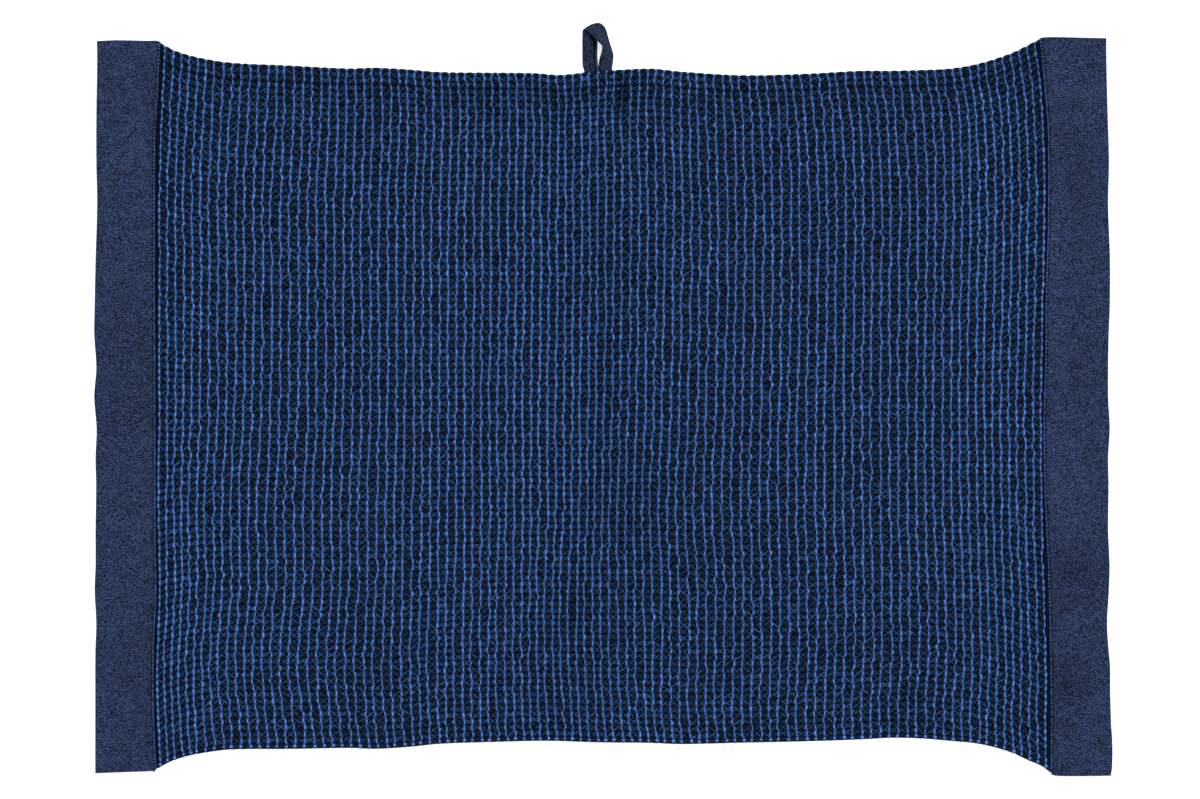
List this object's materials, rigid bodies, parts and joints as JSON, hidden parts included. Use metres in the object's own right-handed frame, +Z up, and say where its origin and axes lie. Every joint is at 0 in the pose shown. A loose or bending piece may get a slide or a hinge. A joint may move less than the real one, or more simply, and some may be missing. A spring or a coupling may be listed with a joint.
{
  "type": "hand towel",
  "caption": "Flat honeycomb-weave hand towel with a plain turned-under hem band at each end and a small tape hanging loop on one long edge.",
  "frame": {"origin": "on the surface that the towel lies on, under the middle of the box that holds towel and loop", "axes": "+X along the towel's length, +Y across it towards the hanging loop, +Z up from the surface"},
  "size_m": [0.7034, 0.5204, 0.0083],
  "materials": {
    "towel_cloth": "honeycomb weave of near-black warp and blue weft, plain-woven ends, matt",
    "loop_tape": "plain-woven dark blue tape, folded and topstitched, matt"
  },
  "bodies": {
    "root": {"towel_cloth": "towel_cloth", "hanging_loop": "loop_tape"}
  },
  "joints": []
}
